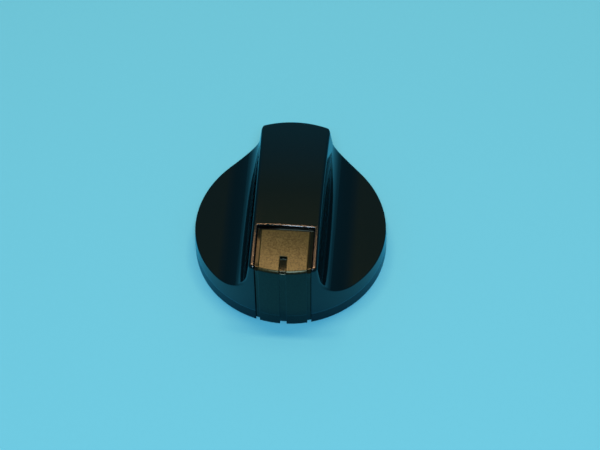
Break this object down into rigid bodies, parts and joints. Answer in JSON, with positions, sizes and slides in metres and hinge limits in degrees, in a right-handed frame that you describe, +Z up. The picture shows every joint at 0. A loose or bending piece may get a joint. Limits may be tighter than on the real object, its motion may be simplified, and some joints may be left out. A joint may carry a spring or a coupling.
{
  "type": "appliance control knob",
  "caption": "Round push-on control knob for a kitchen appliance, with a raised grip bar, finger scoops, a pointer insert and a D-shaped shaft socket.",
  "frame": {"origin": "centre of the skirt's foot, on the plane that the knob stands on, where the shaft axis meets it", "axes": "+Z up along the shaft axis, away from the appliance; -Y towards the pointer; +X to the right of the pointer seen from its front"},
  "size_m": [0.045, 0.045, 0.021],
  "materials": {
    "body_plastic": "gloss black moulding",
    "hub_plastic": "plain dark moulding",
    "insert_plastic": "fine matt bronze pad, gloss black sides",
    "spring_steel": "plain spring steel"
  },
  "bodies": {
    "root": {"knob_body": "body_plastic", "shaft_hub": "hub_plastic", "pointer_insert": "insert_plastic", "shaft_spring": "spring_steel"}
  },
  "joints": []
}
